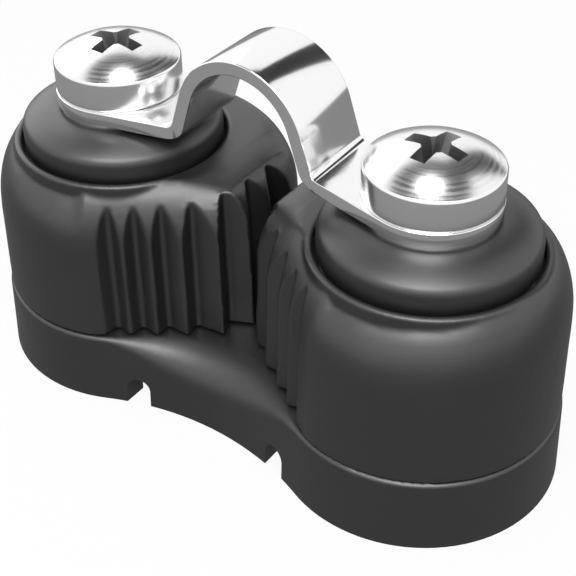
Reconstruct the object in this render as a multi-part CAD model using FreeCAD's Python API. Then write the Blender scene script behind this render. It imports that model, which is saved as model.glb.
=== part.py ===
# Cam cleat with two sprung cams on a waisted base, under a strap fairlead, with two pan head screws.
# Origin at the centre of the base's underside, X through both screws, Z up.
# The load pulls the rope towards -Y, where the toothed faces open in a V.
import FreeCAD, Part
import math
import os

os.makedirs("parts", exist_ok=True)
Vector = FreeCAD.Vector
UP = Vector(0, 0, 1)

# Base
hole_spacing = 27.0
base_height = 5.9
base_end_r = 10.7
base_draft_deg = 2.5
waist_depth = 7.85
waist_r = 22.1
base_wall = 1.8
base_floor = 2.4
base_edge_r = 0.35
saddle_r = 3.2
saddle_near_r = 2.2
saddle_near_share = 0.5
notch_offset = 6.5
notch_width = 1.9
notch_side = 1.5
notch_height = 2.4
rib_width = 1.4

# Post and bearing
post_r = 5.2
running_fit = 0.05
fixing_fit = 0.05
sleeve_wall = 0.6
ring_in = 7.5
ring_out = 8.4
ring_thick = 0.6
ring_proud = 0.1
face_gap = 0.02

# Cams
cam_inset = 0.35
cam_height = 12.53
cam_draft_deg = 1.6
pocket_r = 7.4
pocket_height = 4.2
mouth_depth = 1.15
mouth_r = 7.88
lip_wall = 0.6
lip_edge_r = 0.15
face_inset = 0.35
face_normal_deg = -55.3
nip_gap = 0.6
nip_corner_r = 3.8
lobe_corner_r = 4.3
lobe_offset = 3.5
back_r = 13.6
# Shoulder by the way the wall faces: degrees, reach inwards, reach upwards, share cut off by the top
shoulder = (
    (-180.0, 2.3, 5.0, 0.35),
    (-148.0, 3.0, 5.35, 0.33),
    (-121.0, 3.5, 5.2, 0.1),
    (-95.0, 4.2, 5.05, 0.0),
    (-76.0, 4.2, 5.1, 0.0),
    (-55.0, 3.25, 5.4, 0.3),
    (-15.0, 2.3, 4.8, 0.15),
    (40.0, 1.8, 3.6, 0.0),
    (90.0, 1.8, 3.6, 0.0),
    (120.0, 2.4, 4.6, 0.2),
    (150.0, 2.6, 4.9, 0.3),
)
shoulder_step_count = 5
face_corner_r = 4.0
tooth_pitch_deg = 11.6
first_crest_deg = {"left": -64.2, "right": -60.8}
groove_count = 7
face_point_count = 7
wall_step_count = 3
tooth_flat = 0.12
tooth_floor = 0.25
tooth_angle_deg = 88.0

# Caps
cap_r = 7.65
cap_wall = 1.56
cap_rise = 1.77
cap_socket = 1.06
cap_top_r = 4.8
cap_bulge = 0.47
cap_washer_in = 5.35
cap_washer_out = 7.5
cap_washer_thick = 0.4

# Ferrules and screws
ferrule_r = 3.1
ferrule_bore_r = 2.58
ferrule_bottom = 0.8
flange_r = 4.6
flange_thick = 0.3
screw_r = 2.5
screw_length = 20.0
tip_chamfer = 0.5
head_r = 4.75
head_wall = 2.35
head_dome = 1.45
head_foot_r = 0.25
recess_span = 4.5
recess_width = 1.2
recess_depth = 2.7
recess_taper_deg = 27.0
recess_core_r = 1.1
left_recess_deg = -1.0
right_recess_deg = -5.0

# Strap
strap_thick = 1.0
strap_width = 6.3
strap_foot_r = 4.8
arch_out_r = 5.3
arch_rise = 1.48
splay_deg = 18.0
bend_r = 0.6
strap_hole_r = 2.7

# Springs
wire = 0.8
spring_r = 6.35
spring_turns = 2.25
spring_pitch = 1.0
spring_leg = 2.2
spring_lift = 0.1
spring_leg_deg = 200.0
leg_hole_r = 0.6

# Worked out from the sizes above
half_spacing = hole_spacing / 2
sleeve_in = post_r + running_fit
sleeve_out = sleeve_in + sleeve_wall
cam_r = base_end_r - cam_inset
face_distance = cam_r - face_inset
cam_bottom = base_height + ring_proud + face_gap
cam_top = cam_bottom + cam_height
pocket_top = cam_bottom + pocket_height
ledge_top = cam_top - mouth_depth
washer_bottom = ledge_top + face_gap
cap_bottom = washer_bottom + cap_washer_thick + face_gap
post_top = cap_bottom + cap_socket
cap_wall_top = cap_bottom + cap_wall
cap_top = cap_wall_top + cap_rise
post_bore_r = ferrule_r + fixing_fit
foot_bottom = cap_top + flange_thick
foot_top = foot_bottom + strap_thick
head_top = foot_top + head_wall + head_dome
screw_tip = foot_top - screw_length
lip_r = mouth_r + lip_wall
nip_x = half_spacing - nip_gap / 2
top_leg_deg = spring_leg_deg + 360 * spring_turns


def at_angle(radius, degrees, z=0.0):
    """Point at a radius and an angle round the origin."""
    turn = math.radians(degrees)
    return Vector(radius * math.cos(turn), radius * math.sin(turn), z)


def ring(inner, outer, bottom, top):
    """Round tube with flat ends, standing on the Z axis."""
    tube = Part.makeCylinder(outer, top - bottom, Vector(0, 0, bottom))
    return tube.cut(Part.makeCylinder(inner, top - bottom + 2, Vector(0, 0, bottom - 1)))


def arc(centre, radius, start_deg, end_deg):
    """Arc in the XY plane between two angles, either way round."""
    ends = [centre + at_angle(radius, turn) for turn in (start_deg, (start_deg + end_deg) / 2, end_deg)]
    return Part.Arc(*ends).toShape()


def turned(edges):
    """Solid turned round the Z axis from a closed outline in the XZ plane."""
    face = Part.Face(Part.Wire(edges))
    return face.revolve(Vector(0, 0, 0), UP, 360)


def turned_polygon(points):
    """Solid turned round the Z axis from radius and height pairs."""
    corners = [Vector(radius, 0, height) for radius, height in points]
    return turned(Part.makePolygon(corners + corners[:1]).Edges)


def placed(shape, side):
    """The shape moved to the left (-1) or right (1) screw axis."""
    moved = shape.copy()
    moved.translate(Vector(side * half_spacing, 0, 0))
    return moved


def save(shape, name):
    """Write one node, which must be one sound solid."""
    if len(shape.Solids) == 1:
        shape = shape.Solids[0]
    if not shape.isValid():
        raise RuntimeError(name + " is not a sound shape")
    shape.exportStep("parts/" + name + ".step")


def waist_outline(end_r, depth, inner_waist_r, z):
    """Two round ends joined by hollow waists, each waist in four arcs."""
    waist_y = depth + inner_waist_r
    lean = math.degrees(math.atan2(waist_y, half_spacing))
    near = lean + (90 - lean) * saddle_near_share
    edges = []
    for half in (0, 180):
        turn = math.radians(half)
        end = at_angle(half_spacing, half, z)
        edges.append(arc(end, end_r, half - 180 + lean, half + 180 - lean))
        waist = Vector(-math.sin(turn) * waist_y, math.cos(turn) * waist_y, z)
        for start_deg, end_deg in ((lean, near), (near, 90), (90, 180 - near), (180 - near, 180 - lean)):
            edges.append(arc(waist, inner_waist_r, half - start_deg, half - end_deg))
    return Part.Wire(Part.sortEdges(edges)[0])


def drafted_waist(inset, bottom, top):
    """Waisted block whose walls lean in by the base's draft."""
    sections = []
    for z in (bottom, top):
        shrink = inset + z * math.tan(math.radians(base_draft_deg))
        end_r = base_end_r - shrink
        # Both waists keep their tangent meeting with the ends
        waist = math.hypot(half_spacing, waist_depth + waist_r) - base_end_r + shrink
        sections.append(waist_outline(end_r, waist_depth + waist_r - waist, waist, z))
    return Part.makeLoft(sections, True, True)


def saddle_size(point):
    """Size of the top edge's rounding at one of its corners."""
    if abs(point.x) < 0.01:
        return saddle_r
    if abs(point.x) < half_spacing / 2:
        return saddle_near_r
    return base_edge_r


def saddle_edges(block):
    """Fillet sizes for the top edge: full at mid waist, fading to the round ends."""
    fillets = []
    for number, edge in enumerate(block.Edges, start=1):
        ends = [vertex.Point for vertex in edge.Vertexes]
        if min(point.z for point in ends) < base_height - 0.01:
            continue
        first = edge.valueAt(edge.FirstParameter)
        last = edge.valueAt(edge.LastParameter)
        fillets.append((number, saddle_size(first), saddle_size(last)))
    return fillets


def rounded_block():
    """Base block with the saddle rounding along its top edge."""
    block = drafted_waist(0.0, 0.0, base_height)
    document = FreeCAD.newDocument()
    source = document.addObject("Part::Feature", "block")
    source.Shape = block
    fillet = document.addObject("Part::Fillet", "saddle")
    fillet.Base = source
    fillet.Edges = saddle_edges(source.Shape)
    document.recompute()
    return fillet.Shape.copy()


def notch():
    """Arched drain notch, open at the bottom, running across the base."""
    half = notch_width / 2
    shoulder_left = Vector(-half, 0, notch_side)
    shoulder_right = Vector(half, 0, notch_side)
    edges = [
        Part.makeLine(Vector(-half, 0, -1), shoulder_left),
        Part.Arc(shoulder_left, Vector(0, 0, notch_height), shoulder_right).toShape(),
        Part.makeLine(shoulder_right, Vector(half, 0, -1)),
        Part.makeLine(Vector(half, 0, -1), Vector(-half, 0, -1)),
    ]
    face = Part.Face(Part.Wire(edges))
    return face.extrude(Vector(0, 3 * base_end_r, 0))


def underside_hollow():
    """Space cored out of the base from below, round the posts, a spine and a cross rib."""
    below = -1.5
    high = base_height + 2
    hollow = drafted_waist(base_wall, below + 0.5, base_height - base_floor)
    rib = Part.makeBox(rib_width, 4 * base_end_r, high, Vector(-rib_width / 2, -2 * base_end_r, below))
    spine = Part.makeBox(hole_spacing, rib_width, high, Vector(-half_spacing, -rib_width / 2, below))
    posts = [placed(Part.makeCylinder(post_r, high, Vector(0, 0, below)), side) for side in (-1, 1)]
    return hollow.cut([rib, spine] + posts)


def make_base():
    """Waisted body with a post for each cam, cored out below, with arched drain notches."""
    post_foot = base_height - base_floor / 2
    post = Part.makeCylinder(post_r, post_top - post_foot, Vector(0, 0, post_foot))
    bore = Part.makeCylinder(post_bore_r, post_top + 2, Vector(0, 0, -1))
    seat = ring(ring_in - fixing_fit, ring_out + fixing_fit,
                base_height + ring_proud - ring_thick, base_height + 1)
    leg_hole = Part.makeCylinder(leg_hole_r, spring_leg + 1,
                                 at_angle(spring_r, spring_leg_deg, base_height - spring_leg))
    body = rounded_block().cut(underside_hollow())
    body = body.fuse([placed(post, side) for side in (-1, 1)])
    for side in (-1, 1):
        hand = leg_hole if side < 0 else leg_hole.mirror(Vector(0, 0, 0), Vector(1, 0, 0))
        slot = notch()
        slot.translate(Vector(side * notch_offset, -1.5 * base_end_r, 0))
        body = body.cut([placed(bore, side), placed(seat, side), placed(hand, side), slot])
    return body.removeSplitter()


def cam_outline():
    """Points of the left cam's outline at its foot, each with its outward normal.

    The walk goes round from the toothed face: face, nip corner, nip, lobe corner, the back of the
    lobe, the round outer wall and the soft corner where that wall runs into the face.
    """
    normal = at_angle(1, face_normal_deg)
    along = Vector(-normal.y, normal.x, 0)
    corner_run = math.sqrt((cam_r - face_corner_r) ** 2 - (face_distance - face_corner_r) ** 2)
    corner_centre = normal * (face_distance - face_corner_r) - along * corner_run
    corner_deg = math.degrees(math.atan2(corner_centre.y, corner_centre.x))
    nip_line = normal * (face_distance - nip_corner_r)
    nip_run = (nip_x - nip_corner_r - nip_line.x) / along.x
    nip_centre = nip_line + along * nip_run
    # The lobe's back is an arc that touches both the round wall and the lobe's corner
    lobe_centre = Vector(nip_x - lobe_corner_r, lobe_offset, 0)
    back_reach = back_r - cam_r
    lobe_reach = back_r - lobe_corner_r
    spread = (back_reach ** 2 + lobe_centre.Length ** 2 - lobe_reach ** 2) / (2 * lobe_centre.Length)
    lobe_turn_deg = math.degrees(math.atan2(lobe_centre.y, lobe_centre.x))
    back_start_deg = 180 + lobe_turn_deg - math.degrees(math.acos(spread / back_reach))
    back_centre = at_angle(-back_reach, back_start_deg)
    lobe_deg = math.degrees(math.atan2(lobe_centre.y - back_centre.y, lobe_centre.x - back_centre.x))
    walk = []
    for step in range(face_point_count):
        run = -corner_run + (nip_run + corner_run) * step / face_point_count
        walk.append((normal * face_distance + along * run, normal))
    for centre, radius, start_deg, end_deg, count in (
        (nip_centre, nip_corner_r, face_normal_deg, 0.0, 6),
        (lobe_centre, lobe_corner_r, 0.0, lobe_deg, 6),
        (back_centre, back_r, lobe_deg, back_start_deg, 8),
        (Vector(0, 0, 0), cam_r, back_start_deg, corner_deg + 360, 16),
        (corner_centre, face_corner_r, corner_deg, face_normal_deg, 3),
    ):
        for step in range(count):
            turn = start_deg + (end_deg - start_deg) * step / count
            walk.append((centre + at_angle(radius, turn), at_angle(1, turn)))
    return walk


def walk_shares(walk):
    """How far round the outline each point lies, so that all sections line up."""
    points = [point for point, normal in walk]
    run = [0.0]
    for here, there in zip(points, points[1:] + points[:1]):
        run.append(run[-1] + (there - here).Length)
    return run


def shoulder_reach(normal):
    """The shoulder's inward reach, upward reach and cut off height where the wall faces one way."""
    facing = math.degrees(math.atan2(normal.y, normal.x))
    first = shoulder[0]
    turns = shoulder + ((first[0] + 360.0,) + first[1:],)
    for here, there in zip(turns, turns[1:]):
        if here[0] <= facing <= there[0]:
            share = (facing - here[0]) / (there[0] - here[0])
            ease = (1 - math.cos(math.pi * share)) / 2
            return [a + (b - a) * ease for a, b in zip(here[1:], there[1:])]
    raise RuntimeError("the shoulder has no size for this wall")


def cam_section(walk, wall_share, shoulder_share):
    """Closed curve round the cam, part way up its wall or part way round its shoulder.

    The shoulder is an elliptical rounding, fullest on the load side. Its top may be cut off flat.
    """
    points = []
    for point, normal in walk:
        inward, upward, cut_off = shoulder_reach(normal)
        wall_top = cam_top + cut_off - upward
        turn = math.asin(1 - cut_off / upward) * shoulder_share
        z = cam_bottom + (wall_top - cam_bottom) * wall_share + upward * math.sin(turn)
        shrink = inward * (1 - math.cos(turn)) + (z - cam_bottom) * math.tan(math.radians(cam_draft_deg))
        points.append(point - normal * shrink + Vector(0, 0, z))
    curve = Part.BSplineCurve()
    curve.interpolate(Points=points, PeriodicFlag=True, Parameters=walk_shares(walk))
    return Part.Wire(curve.toShape())


def outline_radius(walk, degrees):
    """Distance from the cam's axis to its foot outline in one direction."""
    aim = at_angle(1, degrees)
    side = Vector(-aim.y, aim.x, 0)
    points = [point for point, normal in walk]
    for here, there in zip(points, points[1:] + points[:1]):
        a = here.dot(side)
        b = there.dot(side)
        if a <= 0 < b and there.dot(aim) > 0:
            return (here + (there - here) * (a / (a - b))).dot(aim)
    raise RuntimeError("the outline does not go round the axis")


def tooth_groove(walk, start_deg):
    """V groove between two crests, pointed at the cam's axis, that leans with the drafted wall."""
    flat_deg = math.degrees(tooth_flat / 2 / outline_radius(walk, start_deg))
    near_deg = start_deg + flat_deg
    far_deg = start_deg + tooth_pitch_deg - flat_deg
    middle_deg = start_deg + tooth_pitch_deg / 2
    near = at_angle(outline_radius(walk, near_deg), near_deg)
    far = at_angle(outline_radius(walk, far_deg), far_deg)
    half_width = (far - near).Length / 2 - tooth_floor / 2
    depth = half_width / math.tan(math.radians(tooth_angle_deg / 2))
    aim = at_angle(1, middle_deg)
    side = Vector(-aim.y, aim.x, 0)
    floor = (near + far).dot(aim) / 2 - depth
    corners = [
        aim * floor - side * (tooth_floor / 2),
        near,
        near + aim * cam_r,
        far + aim * cam_r,
        far,
        aim * floor + side * (tooth_floor / 2),
    ]
    chord = far - near
    outward = Vector(chord.y, -chord.x, 0).normalize()
    lean = UP - outward * math.tan(math.radians(cam_draft_deg))
    foot = UP * cam_bottom - lean
    corners = [corner + foot for corner in corners]
    face = Part.Face(Part.makePolygon(corners + corners[:1]))
    return face.extrude(lean * (cam_height + 2))


def make_left_cam(crest_deg):
    """The left cam round the origin, with its grooves, lip, bore and spring pocket."""
    walk = cam_outline()
    sections = [cam_section(walk, share / wall_step_count, 0.0) for share in range(wall_step_count + 1)]
    for step in range(1, shoulder_step_count + 1):
        sections.append(cam_section(walk, 1.0, step / shoulder_step_count))
    cam = Part.makeLoft(sections, True, False)
    for number in range(groove_count):
        cam = cam.cut(tooth_groove(walk, crest_deg + number * tooth_pitch_deg))
    lip = turned_polygon([
        (mouth_r - 1, ledge_top),
        (lip_r, ledge_top - lip_wall),
        (lip_r, cam_top - lip_edge_r),
        (lip_r - lip_edge_r, cam_top),
        (mouth_r - 1, cam_top),
    ])
    cam = cam.fuse(lip)
    hole = turned_polygon([
        (0, cam_bottom - 1),
        (pocket_r, cam_bottom - 1),
        (pocket_r, pocket_top),
        (sleeve_out, pocket_top),
        (sleeve_out, ledge_top),
        (mouth_r, ledge_top),
        (mouth_r, cam_top - lip_edge_r),
        (mouth_r + 1, cam_top + 1 - lip_edge_r),
        (0, cam_top + 1 - lip_edge_r),
    ])
    cam = cam.cut(hole)
    slot_foot = at_angle(spring_r, top_leg_deg, pocket_top - wire)
    leg_slot = Part.makeCylinder(wire, spring_leg + wire, slot_foot)
    return cam.cut(leg_slot)


def make_sleeve():
    """Plain bearing sleeve, pressed in the cam and running on the post."""
    return ring(sleeve_in, sleeve_out, pocket_top, ledge_top)


def make_thrust_ring():
    """Low-friction ring that stands a little proud of the base and carries the cam."""
    return ring(ring_in, ring_out, base_height + ring_proud - ring_thick, base_height + ring_proud)


def make_cap_washer():
    """Low-friction washer between the cam's ledge and the cap."""
    return ring(cap_washer_in, cap_washer_out, washer_bottom, washer_bottom + cap_washer_thick)


def make_cap():
    """Domed cover that sits over the post's top and keeps the cam down."""
    wall_top = Vector(cap_r, 0, cap_wall_top)
    dome_top = Vector(cap_top_r, 0, cap_top)
    chord = dome_top - wall_top
    outward = Vector(-chord.z, 0, chord.x).normalize() * -cap_bulge
    bulge = (wall_top + dome_top) * 0.5 + outward
    socket_r = post_r + running_fit
    corners = [
        dome_top,
        Vector(post_bore_r, 0, cap_top),
        Vector(post_bore_r, 0, post_top),
        Vector(socket_r, 0, post_top),
        Vector(socket_r, 0, cap_bottom),
        Vector(cap_r, 0, cap_bottom),
        wall_top,
    ]
    return turned(Part.makePolygon(corners).Edges + [Part.Arc(wall_top, bulge, dome_top).toShape()])


def make_ferrule():
    """Steel tube that takes the screw's clamping load, with a flange under the strap's foot."""
    return turned_polygon([
        (ferrule_bore_r, ferrule_bottom),
        (ferrule_r, ferrule_bottom),
        (ferrule_r, cap_top),
        (flange_r, cap_top),
        (flange_r, foot_bottom),
        (ferrule_bore_r, foot_bottom),
    ])


def cross_recess(turn_deg):
    """Cross recess of the screw head: two tapered wings that cross at a tapered core."""
    over = 0.5
    slope = math.tan(math.radians(recess_taper_deg))
    top = head_top + over
    bottom = head_top - recess_depth
    half = recess_span / 2 + over * slope
    foot = half - (top - bottom) * slope
    corners = [
        Vector(-half, -recess_width / 2, top),
        Vector(half, -recess_width / 2, top),
        Vector(foot, -recess_width / 2, bottom),
        Vector(-foot, -recess_width / 2, bottom),
    ]
    wing = Part.Face(Part.makePolygon(corners + corners[:1])).extrude(Vector(0, recess_width, 0))
    crossing = wing.copy()
    crossing.rotate(Vector(0, 0, 0), UP, 90)
    core = Part.makeCone(recess_core_r / 2, recess_core_r, top - bottom, Vector(0, 0, bottom))
    recess = wing.fuse([crossing, core])
    recess.rotate(Vector(0, 0, 0), UP, turn_deg)
    return recess


def make_screw(turn_deg):
    """M5 pan head machine screw, whose tip ends inside the base."""
    rim = foot_top + head_wall
    # The dome is part of a ball whose centre lies on the axis
    ball_r = (head_r ** 2 + head_dome ** 2) / (2 * head_dome)
    rim_deg = math.degrees(math.acos(head_r / ball_r))
    half_way = math.radians((rim_deg + 90) / 2)
    dome = Part.Arc(
        Vector(head_r, 0, rim),
        Vector(ball_r * math.cos(half_way), 0, head_top - ball_r + ball_r * math.sin(half_way)),
        Vector(0, 0, head_top),
    ).toShape()
    corners = [
        Vector(0, 0, head_top),
        Vector(0, 0, screw_tip),
        Vector(screw_r - tip_chamfer, 0, screw_tip),
        Vector(screw_r, 0, screw_tip + tip_chamfer),
        Vector(screw_r, 0, foot_top),
        Vector(head_r - head_foot_r, 0, foot_top),
        Vector(head_r, 0, foot_top + head_foot_r),
        Vector(head_r, 0, rim),
    ]
    return turned(Part.makePolygon(corners).Edges + [dome]).cut(cross_recess(turn_deg))


def strap_side(arch_r, corner_r, foot_z, arch_centre, bend_centre):
    """One side of the bent strip, from the left foot's end to the right foot's end."""
    end_x = half_spacing + strap_foot_r + 1

    def around(centre, radius, degrees):
        turn = math.radians(degrees)
        return centre + Vector(radius * math.cos(turn), 0, radius * math.sin(turn))

    def mirrored(point):
        return Vector(-point.x, 0, point.z)

    foot_end = Vector(end_x, 0, foot_z)
    bend_foot = around(bend_centre, corner_r, -90)
    bend_middle = around(bend_centre, corner_r, -90 - (90 - splay_deg) / 2)
    bend_leg = around(bend_centre, corner_r, 180 + splay_deg)
    arch_end = around(arch_centre, arch_r, splay_deg)
    arch_apex = around(arch_centre, arch_r, 90)
    return [
        Part.makeLine(mirrored(foot_end), mirrored(bend_foot)),
        Part.Arc(mirrored(bend_foot), mirrored(bend_middle), mirrored(bend_leg)).toShape(),
        Part.makeLine(mirrored(bend_leg), mirrored(arch_end)),
        Part.Arc(mirrored(arch_end), arch_apex, arch_end).toShape(),
        Part.makeLine(arch_end, bend_leg),
        Part.Arc(bend_leg, bend_middle, bend_foot).toShape(),
        Part.makeLine(bend_foot, foot_end),
    ]


def strap_plan():
    """The strip's outline from above: a band with a round foot and a hole at each end."""
    low = foot_bottom - 1
    high = arch_rise + arch_out_r + 2 * strap_thick + 1
    half_band = strap_width / 2
    band_end = arch_out_r + bend_r
    # The band's edges run on as tangents to the round feet
    reach = Vector(half_spacing - band_end, half_band, 0)
    reach_deg = math.degrees(math.atan2(reach.y, reach.x))
    open_deg = math.degrees(math.acos(strap_foot_r / reach.Length))
    touch = at_angle(strap_foot_r, 180 - reach_deg - open_deg)
    corners = [
        Vector(-band_end, half_band, low),
        Vector(-half_spacing - touch.x, touch.y, low),
        Vector(-half_spacing - touch.x, -touch.y, low),
        Vector(-band_end, -half_band, low),
    ]
    neck = Part.Face(Part.makePolygon(corners + corners[:1])).extrude(Vector(0, 0, high))
    foot = Part.makeCylinder(strap_foot_r, high, Vector(0, 0, low))
    hole = Part.makeCylinder(strap_hole_r, high, Vector(0, 0, low))
    band = Part.makeBox(2 * band_end, strap_width, high, Vector(-band_end, -half_band, low))
    necks = [neck, neck.mirror(Vector(0, 0, 0), Vector(1, 0, 0))]
    plan = band.fuse(necks + [placed(foot, side) for side in (-1, 1)])
    return plan.cut([placed(hole, side) for side in (-1, 1)])


def make_strap():
    """Strip bent to an arch over the rope's way, with its feet under the screw heads."""
    lean = math.radians(splay_deg)
    arch_centre = Vector(0, 0, foot_top + arch_rise)
    leg_top = arch_centre + Vector(arch_out_r * math.cos(lean), 0, arch_out_r * math.sin(lean))
    crease_x = leg_top.x + (leg_top.z - foot_top) * math.tan(lean)
    tangent = bend_r / math.tan((math.radians(90) + lean) / 2)
    bend_centre = Vector(crease_x + tangent, 0, foot_top + bend_r)
    arch_in_r = arch_out_r - strap_thick
    outer_bend_r = bend_r + strap_thick
    outer = strap_side(arch_out_r, bend_r, foot_top, arch_centre, bend_centre)
    inner = strap_side(arch_in_r, outer_bend_r, foot_bottom, arch_centre, bend_centre)
    ends = []
    for end in (0, -1):
        ends.append(Part.makeLine(outer[end].Vertexes[end].Point, inner[end].Vertexes[end].Point))
    face = Part.Face(Part.Wire(Part.sortEdges(outer + inner + ends)[0]))
    strip = face.extrude(Vector(0, 4 * strap_foot_r, 0))
    strip.translate(Vector(0, -2 * strap_foot_r, 0))
    return strip.common(strap_plan())


def make_spring():
    """Flat-wire torsion spring round the post, one leg down in the base and one up in the cam."""
    bottom = base_height + spring_lift + wire / 2
    coil = Part.makeHelix(spring_pitch, spring_pitch * spring_turns, spring_r)
    coil.rotate(Vector(0, 0, 0), UP, spring_leg_deg)
    coil.translate(Vector(0, 0, bottom))
    half = wire / 2
    corners = [
        Vector(spring_r - half, 0, -half),
        Vector(spring_r + half, 0, -half),
        Vector(spring_r + half, 0, half),
        Vector(spring_r - half, 0, half),
    ]
    section = Part.makePolygon(corners + corners[:1])
    section.rotate(Vector(0, 0, 0), UP, spring_leg_deg)
    section.translate(Vector(0, 0, bottom))
    spring = Part.Wire(coil).makePipeShell([section], True, True)
    coil_top = bottom + spring_pitch * spring_turns
    legs = ((spring_leg_deg, bottom + half - spring_leg), (top_leg_deg, coil_top - half))
    for leg_deg, leg_bottom in legs:
        leg = Part.makeBox(wire, wire, spring_leg, Vector(spring_r - half, -half, leg_bottom))
        leg.rotate(Vector(0, 0, 0), UP, leg_deg)
        spring = spring.fuse(leg)
    return spring


def make_all():
    """Every node's solid, by name."""
    nodes = {"base": make_base(), "fairlead_strap": make_strap()}
    for side, hand in ((-1, "left"), (1, "right")):
        handed = {
            "cam": make_left_cam(first_crest_deg[hand]),
            "spring": make_spring(),
            "sleeve": make_sleeve(),
            "thrust_ring": make_thrust_ring(),
            "cap_washer": make_cap_washer(),
            "cap": make_cap(),
            "ferrule": make_ferrule(),
        }
        for name, shape in handed.items():
            if side > 0:
                shape = shape.mirror(Vector(0, 0, 0), Vector(1, 0, 0))
            nodes[hand + "_" + name] = placed(shape, side)
    nodes["left_screw"] = placed(make_screw(left_recess_deg), -1)
    nodes["right_screw"] = placed(make_screw(right_recess_deg), 1)
    return nodes


for node_name, node_shape in make_all().items():
    save(node_shape, node_name)
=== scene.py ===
"""Looks of the cam cleat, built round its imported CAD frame.

Laid out as an add-on: one operator for each group of pieces and one for the stage, and a panel that lists
them. Run as a script, it builds the whole scene.
"""

import math

import bmesh
import bpy
from bpy.props import FloatProperty, FloatVectorProperty, IntProperty, PointerProperty
from bpy.types import Operator, Panel, PropertyGroup
from mathutils import Matrix, Vector


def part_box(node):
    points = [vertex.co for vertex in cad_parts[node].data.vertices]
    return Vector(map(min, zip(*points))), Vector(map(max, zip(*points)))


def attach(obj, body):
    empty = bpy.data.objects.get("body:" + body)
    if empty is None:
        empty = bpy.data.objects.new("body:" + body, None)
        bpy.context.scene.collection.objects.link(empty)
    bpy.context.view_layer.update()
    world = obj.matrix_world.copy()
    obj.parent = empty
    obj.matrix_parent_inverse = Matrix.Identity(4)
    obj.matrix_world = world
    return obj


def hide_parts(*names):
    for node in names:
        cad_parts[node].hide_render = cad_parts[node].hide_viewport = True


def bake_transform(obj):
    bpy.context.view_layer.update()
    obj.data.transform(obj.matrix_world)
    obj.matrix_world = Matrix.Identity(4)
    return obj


bl_info = {
    "name": "Cam cleat",
    "version": (1, 0, 0),
    "blender": (4, 5, 0),
    "location": "3D View > Sidebar > Cleat",
    "description": "Dresses a cam cleat with a strap fairlead",
    "category": "Add Mesh",
}

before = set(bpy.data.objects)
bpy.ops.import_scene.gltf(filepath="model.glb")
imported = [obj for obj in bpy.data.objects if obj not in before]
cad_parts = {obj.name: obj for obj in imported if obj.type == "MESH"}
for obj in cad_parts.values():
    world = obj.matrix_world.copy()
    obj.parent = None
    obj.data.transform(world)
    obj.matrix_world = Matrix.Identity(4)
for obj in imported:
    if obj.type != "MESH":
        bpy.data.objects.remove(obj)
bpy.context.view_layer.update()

MM = 0.001
HANDS = ("left", "right")
BASE_BODY = "base_body"
LAMPS_AIM = Vector((0.0, 0.0, 20 * MM))


def cam_body(hand):
    """Name of the body that a cam turns with."""
    return hand + "_cam_body"


def axis_x(hand):
    """Where a screw's axis stands along X, in metres."""
    low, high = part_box(hand + "_screw")
    return (low.x + high.x) / 2


class CleatPlastic(PropertyGroup):
    """Black moulded plastic of the base, cams and caps."""

    colour: FloatVectorProperty(
        name="Colour", description="Colour of the moulded plastic", subtype="COLOR",
        default=(0.007, 0.007, 0.0072), min=0.0, max=1.0,
    )
    ior: FloatProperty(
        name="Refraction", description="Refractive index, which sets how strongly the skin mirrors",
        default=1.87, min=1.0,
    )
    roughness: FloatProperty(
        name="Roughness", description="How dull the moulded skin is", default=0.42, min=0.0, max=1.0,
        subtype="FACTOR",
    )
    grain: FloatProperty(
        name="Grain", description="Size of the moulded skin's grain", default=0.22 * MM, unit="LENGTH",
    )
    soft_step: FloatProperty(
        name="Soft step", description="Grid that the cams' edges are softened on", default=0.16 * MM,
        unit="LENGTH",
    )
    soft_passes: IntProperty(
        name="Soft passes", description="How often the cams' edges are smoothed", default=1, min=0,
    )
    cap_rounding: FloatProperty(
        name="Cap rounding", description="Rounding where a cap's dome meets its wall", default=0.9 * MM,
        unit="LENGTH",
    )


class CleatSteel(PropertyGroup):
    """Polished stainless steel of the strap, screws and ferrules."""

    colour: FloatVectorProperty(
        name="Colour", description="Colour that the steel reflects", subtype="COLOR",
        default=(0.94, 0.94, 0.94), min=0.0, max=1.0,
    )
    strap_roughness: FloatProperty(
        name="Strap roughness", description="How dull the polished strip is", default=0.12,
        min=0.0, max=1.0, subtype="FACTOR",
    )
    screw_roughness: FloatProperty(
        name="Screw roughness", description="How dull the turned screw heads are", default=0.22,
        min=0.0, max=1.0, subtype="FACTOR",
    )
    turning_pitch: FloatProperty(
        name="Turning pitch", description="Distance between turned lines", default=0.09 * MM, unit="LENGTH",
    )
    strap_edge: FloatProperty(
        name="Strap edge", description="Rounding of the strip's edges", default=0.09 * MM, unit="LENGTH",
    )
    rim_rounding: FloatProperty(
        name="Rim rounding", description="Rounding of a screw head's rim", default=0.16 * MM, unit="LENGTH",
    )
    dome_rise: FloatProperty(
        name="Dome rise", description="How far a screw head's dome rises above its wall", default=1.45 * MM,
        unit="LENGTH",
    )
    recess_span: FloatProperty(
        name="Recess span", description="Width of the cross recess at the top", default=4.5 * MM,
        unit="LENGTH",
    )
    recess_width: FloatProperty(
        name="Recess width", description="Width of one wing of the cross recess", default=1.2 * MM,
        unit="LENGTH",
    )
    recess_depth: FloatProperty(
        name="Recess depth", description="Depth of the cross recess", default=2.7 * MM, unit="LENGTH",
    )
    left_recess: FloatProperty(
        name="Left recess", description="Turn of the left screw's recess", subtype="ANGLE",
        default=math.radians(-1.0),
    )
    right_recess: FloatProperty(
        name="Right recess", description="Turn of the right screw's recess", subtype="ANGLE",
        default=math.radians(-5.0),
    )
    thread_pitch: FloatProperty(
        name="Thread pitch", description="Pitch of the screws' thread", default=0.8 * MM, unit="LENGTH",
    )


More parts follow.
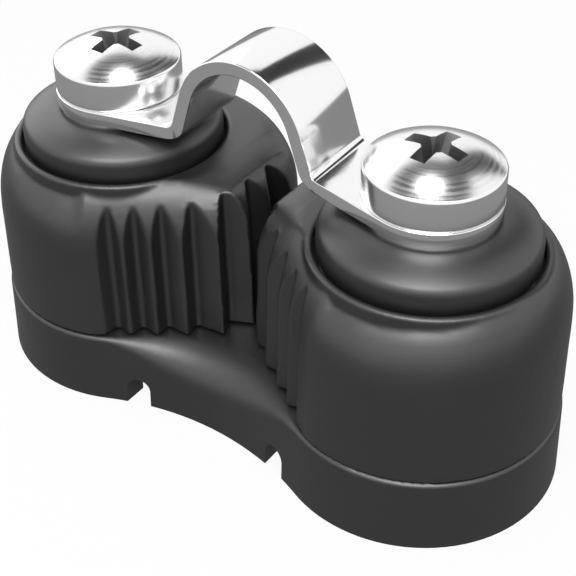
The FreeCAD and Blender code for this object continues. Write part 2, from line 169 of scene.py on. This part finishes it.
class CleatStage(PropertyGroup):
    """Camera, lamps and floor."""

    azimuth: FloatProperty(
        name="Azimuth", description="Camera's angle round the cleat", subtype="ANGLE",
        default=math.radians(35.35),
    )
    elevation: FloatProperty(
        name="Elevation", description="Camera's angle above the deck", subtype="ANGLE",
        default=math.radians(37.47),
    )
    roll: FloatProperty(
        name="Roll", description="Camera's turn about its own line of sight", subtype="ANGLE",
        default=math.radians(-0.62),
    )
    distance: FloatProperty(
        name="Distance", description="Camera's distance from the point it looks at", default=95.5 * MM,
        unit="LENGTH",
    )
    lens: FloatProperty(
        name="Lens", description="Focal length on a square sensor 36 mm wide", default=78.0,
        unit="CAMERA",
    )
    aim_height: FloatProperty(
        name="Aim height", description="Height of the point that the camera looks at", default=10.0 * MM,
        unit="LENGTH",
    )
    aim_right: FloatProperty(
        name="Aim right", description="Aim's shift to the camera's right", default=1.48 * MM, unit="LENGTH",
    )
    aim_up: FloatProperty(
        name="Aim up", description="Aim's shift upwards in the view", default=-0.98 * MM, unit="LENGTH",
    )
    floor_size: FloatProperty(
        name="Floor", description="Width of the pale floor", default=2.0, unit="LENGTH",
    )
    floor_in_mirrors: FloatProperty(
        name="Floor in mirrors", description="How bright the floor shows in polished steel", default=0.21,
        min=0.0, max=1.0, subtype="FACTOR",
    )
    room_light: FloatProperty(
        name="Room light", description="Strength of the light from all round", default=0.3, min=0.0,
    )
    top_power: FloatProperty(
        name="Top lamp", description="Power of the small lamp overhead", default=0.10, min=0.0,
        unit="POWER",
    )
    front_power: FloatProperty(
        name="Front lamp", description="Power of the soft lamp above the camera", default=0.95, min=0.0,
        unit="POWER",
    )
    side_power: FloatProperty(
        name="Side lamp", description="Power of the wide lamp at the left", default=0.28, min=0.0,
        unit="POWER",
    )


class Cleat(PropertyGroup):
    """All the cleat's settings."""

    plastic: PointerProperty(type=CleatPlastic)
    steel: PointerProperty(type=CleatSteel)
    stage: PointerProperty(type=CleatStage)


def join(tree, socket, value):
    """Joins an output to a socket, or sets the socket's own value."""
    if isinstance(value, bpy.types.NodeSocket):
        tree.links.new(value, socket)
    else:
        socket.default_value = value


class Nodes:
    """A material's node tree, with short calls to add and join its nodes."""

    def __init__(self, name):
        self.material = bpy.data.materials.new(name)
        self.material.use_nodes = True
        self.tree = self.material.node_tree
        self.shader = self.tree.nodes["Principled BSDF"]
        self.place = self.add("ShaderNodeTexCoord").outputs["Object"]

    def add(self, kind, inputs=(), **settings):
        """Adds a node, sets its options and fills its sockets with values or other nodes' outputs."""
        node = self.tree.nodes.new(kind)
        for key, value in settings.items():
            setattr(node, key, value)
        for key, value in dict(inputs).items():
            self.feed(node.inputs[key], value)
        return node

    def feed(self, socket, value):
        """Joins an output to a socket, or sets the socket's own value."""
        join(self.tree, socket, value)

    def sums(self, operation, *values):
        """Maths on numbers or outputs."""
        return self.add("ShaderNodeMath", enumerate(values), operation=operation).outputs[0]

    def noise(self, scale, detail=3.0, roughness=0.5):
        """Fine random pattern, from 0 to 1, whose grains are 1/scale metres apart."""
        values = {"Vector": self.place, "Scale": scale, "Detail": detail, "Roughness": roughness}
        return self.add("ShaderNodeTexNoise", values).outputs["Fac"]

    def spread(self, value, low, high):
        """Stretches a 0 to 1 pattern to the range from low to high."""
        values = {"Value": value, "From Min": 0.3, "From Max": 0.7, "To Min": low, "To Max": high}
        return self.add("ShaderNodeMapRange", values).outputs["Result"]

    def bump(self, height, depth):
        """Feeds a height pattern, depth metres deep, to the shader's normal."""
        node = self.add("ShaderNodeBump", {"Height": height, "Distance": depth, "Strength": 1.0})
        self.feed(self.shader.inputs["Normal"], node.outputs["Normal"])


def moulded_plastic(name, plastic):
    """Black moulded plastic with a fine grain and slightly uneven sheen."""
    nodes = Nodes(name)
    grain_depth = 0.004 * MM
    nodes.shader.inputs["IOR"].default_value = plastic.ior
    grain = nodes.noise(1 / plastic.grain, 4.0, 0.6)
    cloud = nodes.noise(180.0, 2.0)
    dark = [channel * 0.88 for channel in plastic.colour] + [1.0]
    light = [channel * 1.12 for channel in plastic.colour] + [1.0]
    mix = nodes.add("ShaderNodeMix", {"Factor": cloud, "A": dark, "B": light}, data_type="RGBA")
    nodes.feed(nodes.shader.inputs["Base Color"], mix.outputs["Result"])
    rough = nodes.spread(cloud, plastic.roughness - 0.03, plastic.roughness + 0.03)
    nodes.feed(nodes.shader.inputs["Roughness"], rough)
    nodes.bump(grain, grain_depth)
    return nodes.material


def polished_steel(name, steel):
    """Polished strip with faint long polishing lines."""
    nodes = Nodes(name)
    nodes.shader.inputs["Metallic"].default_value = 1.0
    nodes.shader.inputs["Base Color"].default_value = list(steel.colour) + [1.0]
    line_depth = 0.0004 * MM
    side = nodes.add("ShaderNodeSeparateXYZ", {"Vector": nodes.place}).outputs["Y"]
    run = nodes.sums("DIVIDE", side, steel.turning_pitch)
    lines = nodes.add("ShaderNodeTexNoise", {"W": run, "Scale": 1.0, "Detail": 2.0}, noise_dimensions="1D")
    rough = nodes.spread(lines.outputs["Fac"], steel.strap_roughness - 0.02, steel.strap_roughness + 0.04)
    nodes.feed(nodes.shader.inputs["Roughness"], rough)
    nodes.bump(lines.outputs["Fac"], line_depth)
    return nodes.material


def turned_steel(name, steel, centre_x):
    """Steel with fine turned lines round the screw's axis."""
    nodes = Nodes(name)
    nodes.shader.inputs["Metallic"].default_value = 1.0
    nodes.shader.inputs["Base Color"].default_value = list(steel.colour) + [1.0]
    line_depth = 0.0015 * MM
    moved = nodes.add("ShaderNodeMapping", {"Vector": nodes.place, "Location": (-centre_x, 0.0, 0.0)})
    parts = nodes.add("ShaderNodeSeparateXYZ", {"Vector": moved.outputs["Vector"]}).outputs
    across = nodes.sums("SQRT", nodes.sums("ADD", nodes.sums("POWER", parts["X"], 2.0),
                                           nodes.sums("POWER", parts["Y"], 2.0)))
    run = nodes.sums("DIVIDE", nodes.sums("ADD", across, parts["Z"]), steel.turning_pitch)
    lines = nodes.add("ShaderNodeTexNoise", {"W": run, "Scale": 1.0, "Detail": 2.0}, noise_dimensions="1D")
    rough = nodes.spread(lines.outputs["Fac"], steel.screw_roughness - 0.03, steel.screw_roughness + 0.05)
    nodes.feed(nodes.shader.inputs["Roughness"], rough)
    nodes.bump(lines.outputs["Fac"], line_depth)
    return nodes.material


def plain_material(name, colour, roughness, metallic=0.0):
    """Plain finish: one colour, with faint unevenness."""
    nodes = Nodes(name)
    cloud = nodes.noise(700.0, 3.0)
    dark = [channel * 0.92 for channel in colour] + [1.0]
    light = list(colour) + [1.0]
    mix = nodes.add("ShaderNodeMix", {"Factor": cloud, "A": dark, "B": light}, data_type="RGBA")
    nodes.feed(nodes.shader.inputs["Base Color"], mix.outputs["Result"])
    nodes.shader.inputs["Metallic"].default_value = metallic
    nodes.feed(nodes.shader.inputs["Roughness"], nodes.spread(cloud, roughness - 0.04, roughness + 0.04))
    nodes.bump(cloud, 0.002 * MM)
    return nodes.material


def dress(node, material):
    """Gives a CAD node its material."""
    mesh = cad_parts[node].data
    mesh.materials.clear()
    mesh.materials.append(material)


def put_in_scene(name, data):
    """Adds an object for a mesh, lamp or camera to the scene."""
    item = bpy.data.objects.new(name, data)
    bpy.context.scene.collection.objects.link(item)
    return item


def shown_piece(name, mesh, material):
    """Object for a finished mesh, in its material."""
    mesh.name = name
    mesh.materials.append(material)
    return put_in_scene(name, mesh)


def new_piece(name, mesh, material, body, node):
    """Shows a finished mesh, which moves with its body and stands for its CAD node."""
    piece = shown_piece(name, mesh, material)
    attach(piece, body)
    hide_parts(node)


def as_mesh(bm, crease=math.radians(40)):
    """Turns working geometry into a smooth mesh that stays crisp at its creases."""
    mesh = bpy.data.meshes.new("mesh")
    bm.to_mesh(mesh)
    bm.free()
    if "custom_normal" in mesh.attributes:
        mesh.attributes.remove(mesh.attributes["custom_normal"])
    mesh.shade_smooth()
    mesh.set_sharp_from_angle(angle=crease)
    return mesh


def merged_copy(node):
    """Working copy of a CAD node's mesh, with its loose triangles joined."""
    bm = bmesh.new()
    bm.from_mesh(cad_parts[node].data)
    bmesh.ops.remove_doubles(bm, verts=bm.verts, dist=0.0005 * MM)
    return bm


def chain(bm, start, points):
    """Joins points one after another with edges, from a first vertex on, and returns the last vertex."""
    for point in points:
        following = bm.verts.new(point)
        bm.edges.new((start, following))
        start = following
    return start


def swung(bm, vertex, centre, angle, steps):
    """Swings a vertex round a point, in the XZ plane, into an arc, and returns the arc's last vertex."""
    arc = bmesh.ops.spin(bm, geom=[vertex], cent=centre, axis=(0, 1, 0), angle=angle, steps=steps)
    return next(item for item in arc["geom_last"] if isinstance(item, bmesh.types.BMVert))


def spin_round(bm, centre_x, steps):
    """Turns an outline in the XZ plane into a closed round body."""
    bmesh.ops.spin(bm, geom=bm.verts[:] + bm.edges[:], cent=(centre_x, 0, 0), axis=(0, 0, 1),
                   angle=2 * math.pi, steps=steps, use_merge=True)
    bmesh.ops.remove_doubles(bm, verts=bm.verts, dist=0.0005 * MM)
    bmesh.ops.recalc_face_normals(bm, faces=bm.faces)


def round_ring(bm, centre_x, radius, height, size, segments):
    """Rounds the edge that runs round the axis at one radius and height."""
    ring = []
    for edge in bm.edges:
        off = [abs(math.hypot(end.co.x - centre_x, end.co.y) - radius) + abs(end.co.z - height)
               for end in edge.verts]
        if max(off) < 0.002 * MM:
            ring.append(edge)
    if not ring:
        raise RuntimeError("no edge to round at this radius and height")
    bmesh.ops.bevel(bm, geom=ring, offset=size, segments=segments, profile=0.5, affect="EDGES",
                    material=-1)


def round_creases(bm, size, segments, angle=math.radians(50)):
    """Rounds every edge that is sharper than a given angle."""
    sharp = [edge for edge in bm.edges if edge.is_manifold and edge.calc_face_angle() > angle]
    bmesh.ops.bevel(bm, geom=sharp, offset=size, segments=segments, profile=0.5, affect="EDGES",
                    material=-1, clamp_overlap=True)


class CLEAT_OT_base(Operator):
    """Finish the base in black moulded plastic"""

    bl_idname = "cleat.base"
    bl_label = "Base"

    def execute(self, context):
        dress("base", moulded_plastic("base plastic", context.scene.cleat.plastic))
        return {"FINISHED"}


class CLEAT_OT_cams(Operator):
    """Make the two toothed cams, with moulded edges"""

    bl_idname = "cleat.cams"
    bl_label = "Cams"

    def execute(self, context):
        plastic = context.scene.cleat.plastic
        material = moulded_plastic("cam plastic", plastic)
        for hand in HANDS:
            node = hand + "_cam"
            mesh = moulded_skin(node, axis_x(hand), plastic)
            new_piece(node + "_moulded", mesh, material, cam_body(hand), node)
        return {"FINISHED"}


def smooth(bm, vertices, passes):
    """Eases vertices towards their neighbours, a number of times."""
    for _ in range(passes):
        bmesh.ops.smooth_vert(bm, verts=vertices, factor=0.5, use_axis_x=True, use_axis_y=True,
                              use_axis_z=True)


def moulded_skin(node, centre_x, plastic):
    """Even skin over a CAD node, with soft edges and an eased crease between its top and its shoulder."""
    rough = put_in_scene(node + " rough", as_mesh(merged_copy(node)))
    skin = rough.modifiers.new("skin", "REMESH")
    skin.mode = "VOXEL"
    skin.voxel_size = plastic.soft_step
    graph = bpy.context.evaluated_depsgraph_get()
    bm = bmesh.new()
    bm.from_mesh(rough.evaluated_get(graph).to_mesh())
    bpy.data.meshes.remove(rough.data)
    smooth(bm, bm.verts, plastic.soft_passes)
    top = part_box(node)[1].z
    inwards = -1 if centre_x > 0 else 1
    crease, lip, depth = 10.4 * MM, 8.9 * MM, 2 * MM
    # Ever narrower bands along the crease over the nip, each eased more often
    for half_width, passes in ((2.0, 30), (1.5, 60), (1.1, 120)):
        bm.normal_update()
        eased = [vertex for vertex in bm.verts
                 if vertex.co.z > top - depth and vertex.normal.z > 0.5
                 and abs((vertex.co.x - centre_x) * inwards - crease) < half_width * MM
                 and math.hypot(vertex.co.x - centre_x, vertex.co.y) > lip]
        smooth(bm, eased, passes)
    return as_mesh(bm, math.radians(180))


class CLEAT_OT_caps(Operator):
    """Make the two domed caps"""

    bl_idname = "cleat.caps"
    bl_label = "Caps"

    def execute(self, context):
        plastic = context.scene.cleat.plastic
        material = moulded_plastic("cap plastic", plastic)
        for hand in HANDS:
            mesh = make_cap(hand + "_cap", axis_x(hand), plastic.cap_rounding)
            new_piece(hand + "_cap_domed", mesh, material, BASE_BODY, hand + "_cap")
        return {"FINISHED"}


def make_cap(node, centre_x, rounding):
    """Domed cap with a soft shoulder, hollow below where it sits on the post."""
    low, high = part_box(node)
    reach = (high.x - low.x) / 2
    bore, socket, flat = 3.15 * MM, 5.25 * MM, 4.8 * MM
    bulge, foot_rounding = 0.3 * MM, 0.2 * MM
    wall_top = low.z + 2.1 * MM
    socket_top = low.z + 1.06 * MM
    bm = bmesh.new()
    first = bm.verts.new((centre_x + flat, 0, high.z))
    # The dome's arc would pass through the flat top's rim and the wall's top, bulging outwards
    chord = Vector((reach - flat, 0, wall_top - high.z))
    ball = (chord.length_squared / 4 + bulge * bulge) / (2 * bulge)
    inward = Vector((chord.z, 0, -chord.x)).normalized()
    middle = Vector((centre_x + (reach + flat) / 2, 0, (high.z + wall_top) / 2))
    centre = middle + inward * (ball - bulge)
    # It stops where a smaller arc, which also touches the wall, carries on
    turn_x = centre_x + reach - rounding
    turn_z = centre.z + math.sqrt((ball - rounding) ** 2 - (turn_x - centre.x) ** 2)
    slope = math.atan2(turn_z - centre.z, turn_x - centre.x)
    start = math.atan2(first.co.z - centre.z, first.co.x - centre.x)
    last = swung(bm, first, centre, start - slope, 20)
    last = swung(bm, last, (turn_x, 0, turn_z), slope, 12)
    end = chain(bm, last, [
        (centre_x + reach, 0, low.z),
        (centre_x + socket, 0, low.z),
        (centre_x + socket, 0, socket_top),
        (centre_x + bore, 0, socket_top),
        (centre_x + bore, 0, high.z),
    ])
    bm.edges.new((end, first))
    spin_round(bm, centre_x, 128)
    round_ring(bm, centre_x, reach, low.z, foot_rounding, 4)
    return as_mesh(bm)


class CLEAT_OT_screws(Operator):
    """Make the two pan head screws, with cross recess and thread"""

    bl_idname = "cleat.screws"
    bl_label = "Screws"

    def execute(self, context):
        steel = context.scene.cleat.steel
        # Rougher steel for the cross recess; its colour, far darker than the head's steel, is painted shade
        # in the recess
        dull = plain_material("recess steel", (0.32, 0.32, 0.32), 0.45, 1.0)
        for hand in HANDS:
            node = hand + "_screw"
            centre_x = axis_x(hand)
            material = turned_steel(hand + " screw steel", steel, centre_x)
            mesh = make_screw(node, centre_x, getattr(steel, hand + "_recess"), steel)
            new_piece(node + "_turned", mesh, material, BASE_BODY, node)
            mesh.materials.append(dull)
        return {"FINISHED"}


def make_screw(node, centre_x, turn, steel):
    """Screw with a domed head, a carved recess and a rolled thread."""
    low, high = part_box(node)
    reach = (high.x - low.x) / 2
    rim = high.z - steel.dome_rise
    foot = low.z + 20.0 * MM
    shank = 2.45 * MM
    root, crest = 2.02 * MM, 2.48 * MM
    neck = foot - 1.2 * MM
    tip = 0.1 * MM
    ball = (reach ** 2 + steel.dome_rise ** 2) / (2 * steel.dome_rise)
    bm = bmesh.new()
    first = bm.verts.new((centre_x, 0, high.z))
    last = swung(bm, first, (centre_x, 0, high.z - ball), math.asin(reach / ball), 30)
    chain(bm, last, [
        (centre_x + reach, 0, foot),
        (centre_x + shank, 0, foot),
        (centre_x + shank, 0, neck),
        (centre_x + root, 0, neck - (shank - root)),
        (centre_x + root, 0, low.z + tip),
        (centre_x + root - tip, 0, low.z),
        (centre_x, 0, low.z),
    ])
    spin_round(bm, centre_x, 112)
    round_ring(bm, centre_x, reach, rim, steel.rim_rounding, 5)
    round_ring(bm, centre_x, reach, foot, 0.25 * MM, 5)
    body = put_in_scene(node + " blank", as_mesh(bm))
    cutter = put_in_scene(node + " punch", recess_punch(centre_x, high.z, turn, steel))
    carve = body.modifiers.new("recess", "BOOLEAN")
    carve.operation = "DIFFERENCE"
    carve.solver = "EXACT"
    carve.use_self = True
    carve.object = cutter
    graph = bpy.context.evaluated_depsgraph_get()
    bm = bmesh.new()
    bm.from_mesh(body.evaluated_get(graph).to_mesh())
    for item in (body, cutter):
        bpy.data.meshes.remove(item.data)
    # The recess's faces, which lie inside the dome, take the second material: rougher steel whose dark
    # colour is painted shade in the recess
    ball_centre = Vector((centre_x, 0, high.z - ball))
    recess_reach, recess_sink = 2.6 * MM, 0.06 * MM
    for face in bm.faces:
        middle = face.calc_center_median()
        across = math.hypot(middle.x - centre_x, middle.y)
        inside = (middle - ball_centre).length < ball - recess_sink
        if across < recess_reach and middle.z > foot and inside:
            face.material_index = 1
    add_thread(bm, centre_x, root, crest, low.z + 0.15 * MM, neck - 0.9 * MM, steel.thread_pitch)
    return as_mesh(bm)


def recess_punch(centre_x, top, turn, steel):
    """Punch for the cross recess: two tapered wings and a tapered core."""
    bm = bmesh.new()
    over = 0.5 * MM
    slope = math.tan(math.radians(27))
    half = steel.recess_span / 2 + over * slope
    foot = half - (steel.recess_depth + over) * slope
    middle = Vector((0, 0, (over - steel.recess_depth) / 2))
    for quarter in (0, 90):
        wing = bmesh.ops.create_cube(bm, size=1.0)["verts"]
        size = (1.0, steel.recess_width, steel.recess_depth + over)
        bmesh.ops.scale(bm, verts=wing, vec=size)
        bmesh.ops.translate(bm, verts=wing, vec=middle)
        upper = [vertex for vertex in wing if vertex.co.z > 0]
        lower = [vertex for vertex in wing if vertex.co.z < 0]
        bmesh.ops.scale(bm, verts=upper, vec=(2 * half, 1, 1))
        bmesh.ops.scale(bm, verts=lower, vec=(2 * foot, 0.8, 1))
        bmesh.ops.rotate(bm, verts=wing, cent=(0, 0, 0),
                         matrix=Matrix.Rotation(math.radians(quarter), 3, "Z"))
    core = bmesh.ops.create_cone(bm, cap_ends=True, segments=24, radius1=0.55 * MM, radius2=1.1 * MM,
                                 depth=steel.recess_depth + over)["verts"]
    bmesh.ops.translate(bm, verts=core, vec=middle)
    bmesh.ops.rotate(bm, verts=bm.verts, cent=(0, 0, 0), matrix=Matrix.Rotation(turn, 3, "Z"))
    bmesh.ops.translate(bm, verts=bm.verts, vec=(centre_x, 0, top))
    bmesh.ops.recalc_face_normals(bm, faces=bm.faces)
    return as_mesh(bm)


def add_thread(bm, centre_x, root, crest, bottom, top, pitch):
    """Winds a thread's ridge up the shank, from its bottom to its top."""
    steps = 28
    inside = root - 0.08 * MM
    corners = [
        bm.verts.new((centre_x + inside, 0, bottom)),
        bm.verts.new((centre_x + crest, 0, bottom + 0.42 * pitch)),
        bm.verts.new((centre_x + crest, 0, bottom + 0.55 * pitch)),
        bm.verts.new((centre_x + inside, 0, bottom + 0.97 * pitch)),
    ]
    section = bm.faces.new(corners)
    turns = math.floor((top - bottom) / pitch) - 1
    geometry = [section] + section.edges[:] + section.verts[:]
    before = set(bm.faces)
    bmesh.ops.spin(bm, geom=geometry, cent=(centre_x, 0, 0), axis=(0, 0, 1), dvec=(0, 0, pitch / steps),
                   angle=turns * 2 * math.pi, steps=turns * steps)
    ridge = [face for face in bm.faces if face not in before] + [section]
    bmesh.ops.recalc_face_normals(bm, faces=ridge)


class CLEAT_OT_strap(Operator):
    """Make the bent strap with softly rounded edges, and finish the ferrules under it"""

    bl_idname = "cleat.strap"
    bl_label = "Strap and ferrules"

    def execute(self, context):
        steel = context.scene.cleat.steel
        material = polished_steel("strap steel", steel)
        bm = merged_copy("fairlead_strap")
        round_creases(bm, steel.strap_edge, 3)
        mesh = as_mesh(bm, math.radians(30))
        new_piece("strap_polished", mesh, material, BASE_BODY, "fairlead_strap")
        for hand in HANDS:
            dress(hand + "_ferrule", material)
        return {"FINISHED"}


class CLEAT_OT_inner(Operator):
    """Finish the pieces that are hidden in the cams"""

    bl_idname = "cleat.inner"
    bl_label = "Inner pieces"

    def execute(self, context):
        acetal = plain_material("white acetal", (0.78, 0.77, 0.73), 0.35)
        wire = plain_material("spring wire", (0.55, 0.55, 0.54), 0.3, 1.0)
        for hand in HANDS:
            for piece in ("sleeve", "thrust_ring", "cap_washer"):
                dress(hand + "_" + piece, acetal)
            make_spring(hand, wire)
        return {"FINISHED"}


def make_spring(hand, wire):
    """Spring of a cam, whose foot sits in the base and top leg in the cam; here a merged copy of its CAD
    node, fixed where it stands.
    """
    node = hand + "_spring"
    piece = shown_piece(node + "_wound", as_mesh(merged_copy(node)), wire)
    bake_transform(piece)
    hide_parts(node)


class CLEAT_OT_stage(Operator):
    """Set up the pale floor, the soft lamps and the camera"""

    bl_idname = "cleat.stage"
    bl_label = "Stage"

    def execute(self, context):
        stage = context.scene.cleat.stage
        make_floor(stage)
        make_world(stage)
        make_lamps(stage)
        make_cards()
        make_camera(stage)
        context.scene.view_settings.view_transform = "Standard"
        return {"FINISHED"}


def seen_white(tree, lit, white, in_mirrors, share):
    """Mixes a lit shader with plain white: all of its share to the camera, and a part of it in mirrors."""
    def maths(operation, *values):
        node = tree.nodes.new("ShaderNodeMath")
        node.operation = operation
        for socket, value in zip(node.inputs, values):
            join(tree, socket, value)
        return node.outputs[0]

    path = tree.nodes.new("ShaderNodeLightPath").outputs
    camera = path["Is Camera Ray"]
    mirror = maths("MAXIMUM", path["Is Glossy Ray"], path["Is Transmission Ray"])
    strength = maths("MAXIMUM", camera, maths("MULTIPLY", mirror, in_mirrors))
    join(tree, white.inputs["Strength"], strength)
    join(tree, white.inputs["Color"], (1.0, 1.0, 1.0, 1.0))
    part = maths("MULTIPLY", maths("MAXIMUM", camera, mirror), share)
    mix = tree.nodes.new("ShaderNodeMixShader")
    for socket, value in zip(mix.inputs, (part, lit, white.outputs[0])):
        join(tree, socket, value)
    return mix.outputs[0]


def make_floor(stage):
    """Pale floor, a plane that the base stands on."""
    bm = bmesh.new()
    bmesh.ops.create_grid(bm, x_segments=1, y_segments=1, size=stage.floor_size / 2)
    mesh = bpy.data.meshes.new("floor")
    bm.to_mesh(mesh)
    bm.free()
    floor = put_in_scene("floor", mesh)
    material = bpy.data.materials.new("pale floor")
    material.use_nodes = True
    tree = material.node_tree
    shader = tree.nodes["Principled BSDF"]
    shader.inputs["Base Color"].default_value = (0.9, 0.9, 0.9, 1.0)
    shader.inputs["Roughness"].default_value = 0.9
    white = tree.nodes.new("ShaderNodeEmission")
    shown = seen_white(tree, shader.outputs[0], white, stage.floor_in_mirrors, 0.92)
    tree.links.new(shown, tree.nodes["Material Output"].inputs["Surface"])
    mesh.materials.append(material)


def make_world(stage):
    """White surroundings that light the cleat evenly and softly."""
    world = bpy.data.worlds.new("white room")
    bpy.context.scene.world = world
    world.use_nodes = True
    tree = world.node_tree
    lit = tree.nodes["Background"]
    lit.inputs["Color"].default_value = (1.0, 1.0, 1.0, 1.0)
    lit.inputs["Strength"].default_value = stage.room_light
    white = tree.nodes.new("ShaderNodeBackground")
    shown = seen_white(tree, lit.outputs[0], white, 1.0, 1.0)
    tree.links.new(shown, tree.nodes["World Output"].inputs["Surface"])


def facing(place):
    """Place and turn of an object whose own -Z axis points at the cleat."""
    return Matrix.Translation(place) @ (LAMPS_AIM - place).to_track_quat("-Z", "Y").to_matrix().to_4x4()


def from_angles(azimuth, elevation, distance):
    """Point at an angle round the cleat, counted from +X, and an angle above the floor, in degrees."""
    round_z, up = math.radians(azimuth), math.radians(elevation)
    flat = math.cos(up)
    return Vector((math.cos(round_z) * flat, math.sin(round_z) * flat, math.sin(up))) * distance


def make_lamps(stage):
    """Soft lamps: overhead, in front above the camera, and wide at the left."""
    for name, place, wide, high, power in (
        ("top lamp", from_angles(120, 87, 0.32), 0.10, 0.10, stage.top_power),
        ("front lamp", from_angles(-62, 57, 0.34), 0.30, 0.20, stage.front_power),
        ("side lamp", from_angles(163, 27, 0.36), 0.34, 0.34, stage.side_power),
    ):
        lamp = bpy.data.lights.new(name, "AREA")
        lamp.shape = "ELLIPSE"
        lamp.size = wide
        lamp.size_y = high
        lamp.energy = power
        put_in_scene(name, lamp).matrix_world = facing(place)


def card(name, place, outline, material):
    """Flat card that faces the cleat, in the shape that its outline function makes."""
    bm = bmesh.new()
    outline(bm)
    bmesh.ops.transform(bm, matrix=facing(place), verts=bm.verts)
    mesh = bpy.data.meshes.new(name)
    bm.to_mesh(mesh)
    bm.free()
    mesh.materials.append(material)
    item = put_in_scene(name, mesh)


def make_cards():
    """Dark cards that the polished steel mirrors: a round shade over the top lamp and a flag behind."""
    material = bpy.data.materials.new("dark card")
    material.use_nodes = True
    shader = material.node_tree.nodes["Principled BSDF"]
    shader.inputs["Base Color"].default_value = (0.07, 0.07, 0.072, 1.0)
    shader.inputs["Roughness"].default_value = 0.9

    def disc(bm):
        bmesh.ops.create_circle(bm, cap_ends=True, segments=64, radius=0.195)

    def strip(bm):
        bmesh.ops.create_grid(bm, x_segments=1, y_segments=1, size=0.5)
        bmesh.ops.scale(bm, verts=bm.verts, vec=(0.20, 0.42, 1.0))

    card("lamp_shade", from_angles(120, 87, 0.34), disc, material)
    card("rear_flag", from_angles(85, 39, 0.55), strip, material)


def make_camera(stage):
    """Camera at the photograph's angle."""
    az, el = stage.azimuth, stage.elevation
    back = Vector((math.sin(az) * math.cos(el), -math.cos(az) * math.cos(el), math.sin(el)))
    right = Vector((math.cos(az), math.sin(az), 0.0))
    up = back.cross(right)
    aim = Vector((0.0, 0.0, stage.aim_height))
    across = right * math.cos(stage.roll) + up * math.sin(stage.roll)
    above = up * math.cos(stage.roll) - right * math.sin(stage.roll)
    place = aim + right * stage.aim_right + up * stage.aim_up + back * stage.distance
    data = bpy.data.cameras.new("camera")
    data.sensor_width = 36.0
    data.lens = stage.lens
    data.clip_start = 0.005
    data.clip_end = 10.0
    camera = put_in_scene("camera", data)
    turn = Matrix((across, above, back)).transposed().to_4x4()
    camera.matrix_world = Matrix.Translation(place) @ turn
    bpy.context.scene.camera = camera


class CLEAT_PT_panel(Panel):
    """Lists the cleat's operators and settings"""

    bl_label = "Cam cleat"
    bl_idname = "CLEAT_PT_panel"
    bl_space_type = "VIEW_3D"
    bl_region_type = "UI"
    bl_category = "Cleat"

    def draw(self, context):
        for operator in OPERATORS:
            self.layout.operator(operator.bl_idname)
        for group in ("plastic", "steel", "stage"):
            box = self.layout.box()
            settings = getattr(context.scene.cleat, group)
            for key in settings.bl_rna.properties.keys():
                if key not in ("rna_type", "name"):
                    box.prop(settings, key)


OPERATORS = (
    CLEAT_OT_base,
    CLEAT_OT_cams,
    CLEAT_OT_caps,
    CLEAT_OT_screws,
    CLEAT_OT_strap,
    CLEAT_OT_inner,
    CLEAT_OT_stage,
)
CLASSES = (CleatPlastic, CleatSteel, CleatStage, Cleat) + OPERATORS + (CLEAT_PT_panel,)


def register():
    """Adds the classes and the scene's settings."""
    for cls in CLASSES:
        bpy.utils.register_class(cls)
    bpy.types.Scene.cleat = PointerProperty(type=Cleat)


def unregister():
    """Takes the classes and the scene's settings away."""
    del bpy.types.Scene.cleat
    for cls in reversed(CLASSES):
        bpy.utils.unregister_class(cls)


def main():
    """Builds the scene."""
    register()
    bpy.ops.cleat.base()
    bpy.ops.cleat.cams()
    bpy.ops.cleat.caps()
    bpy.ops.cleat.screws()
    bpy.ops.cleat.strap()
    bpy.ops.cleat.inner()
    bpy.ops.cleat.stage()


if __name__ == "__main__":
    main()
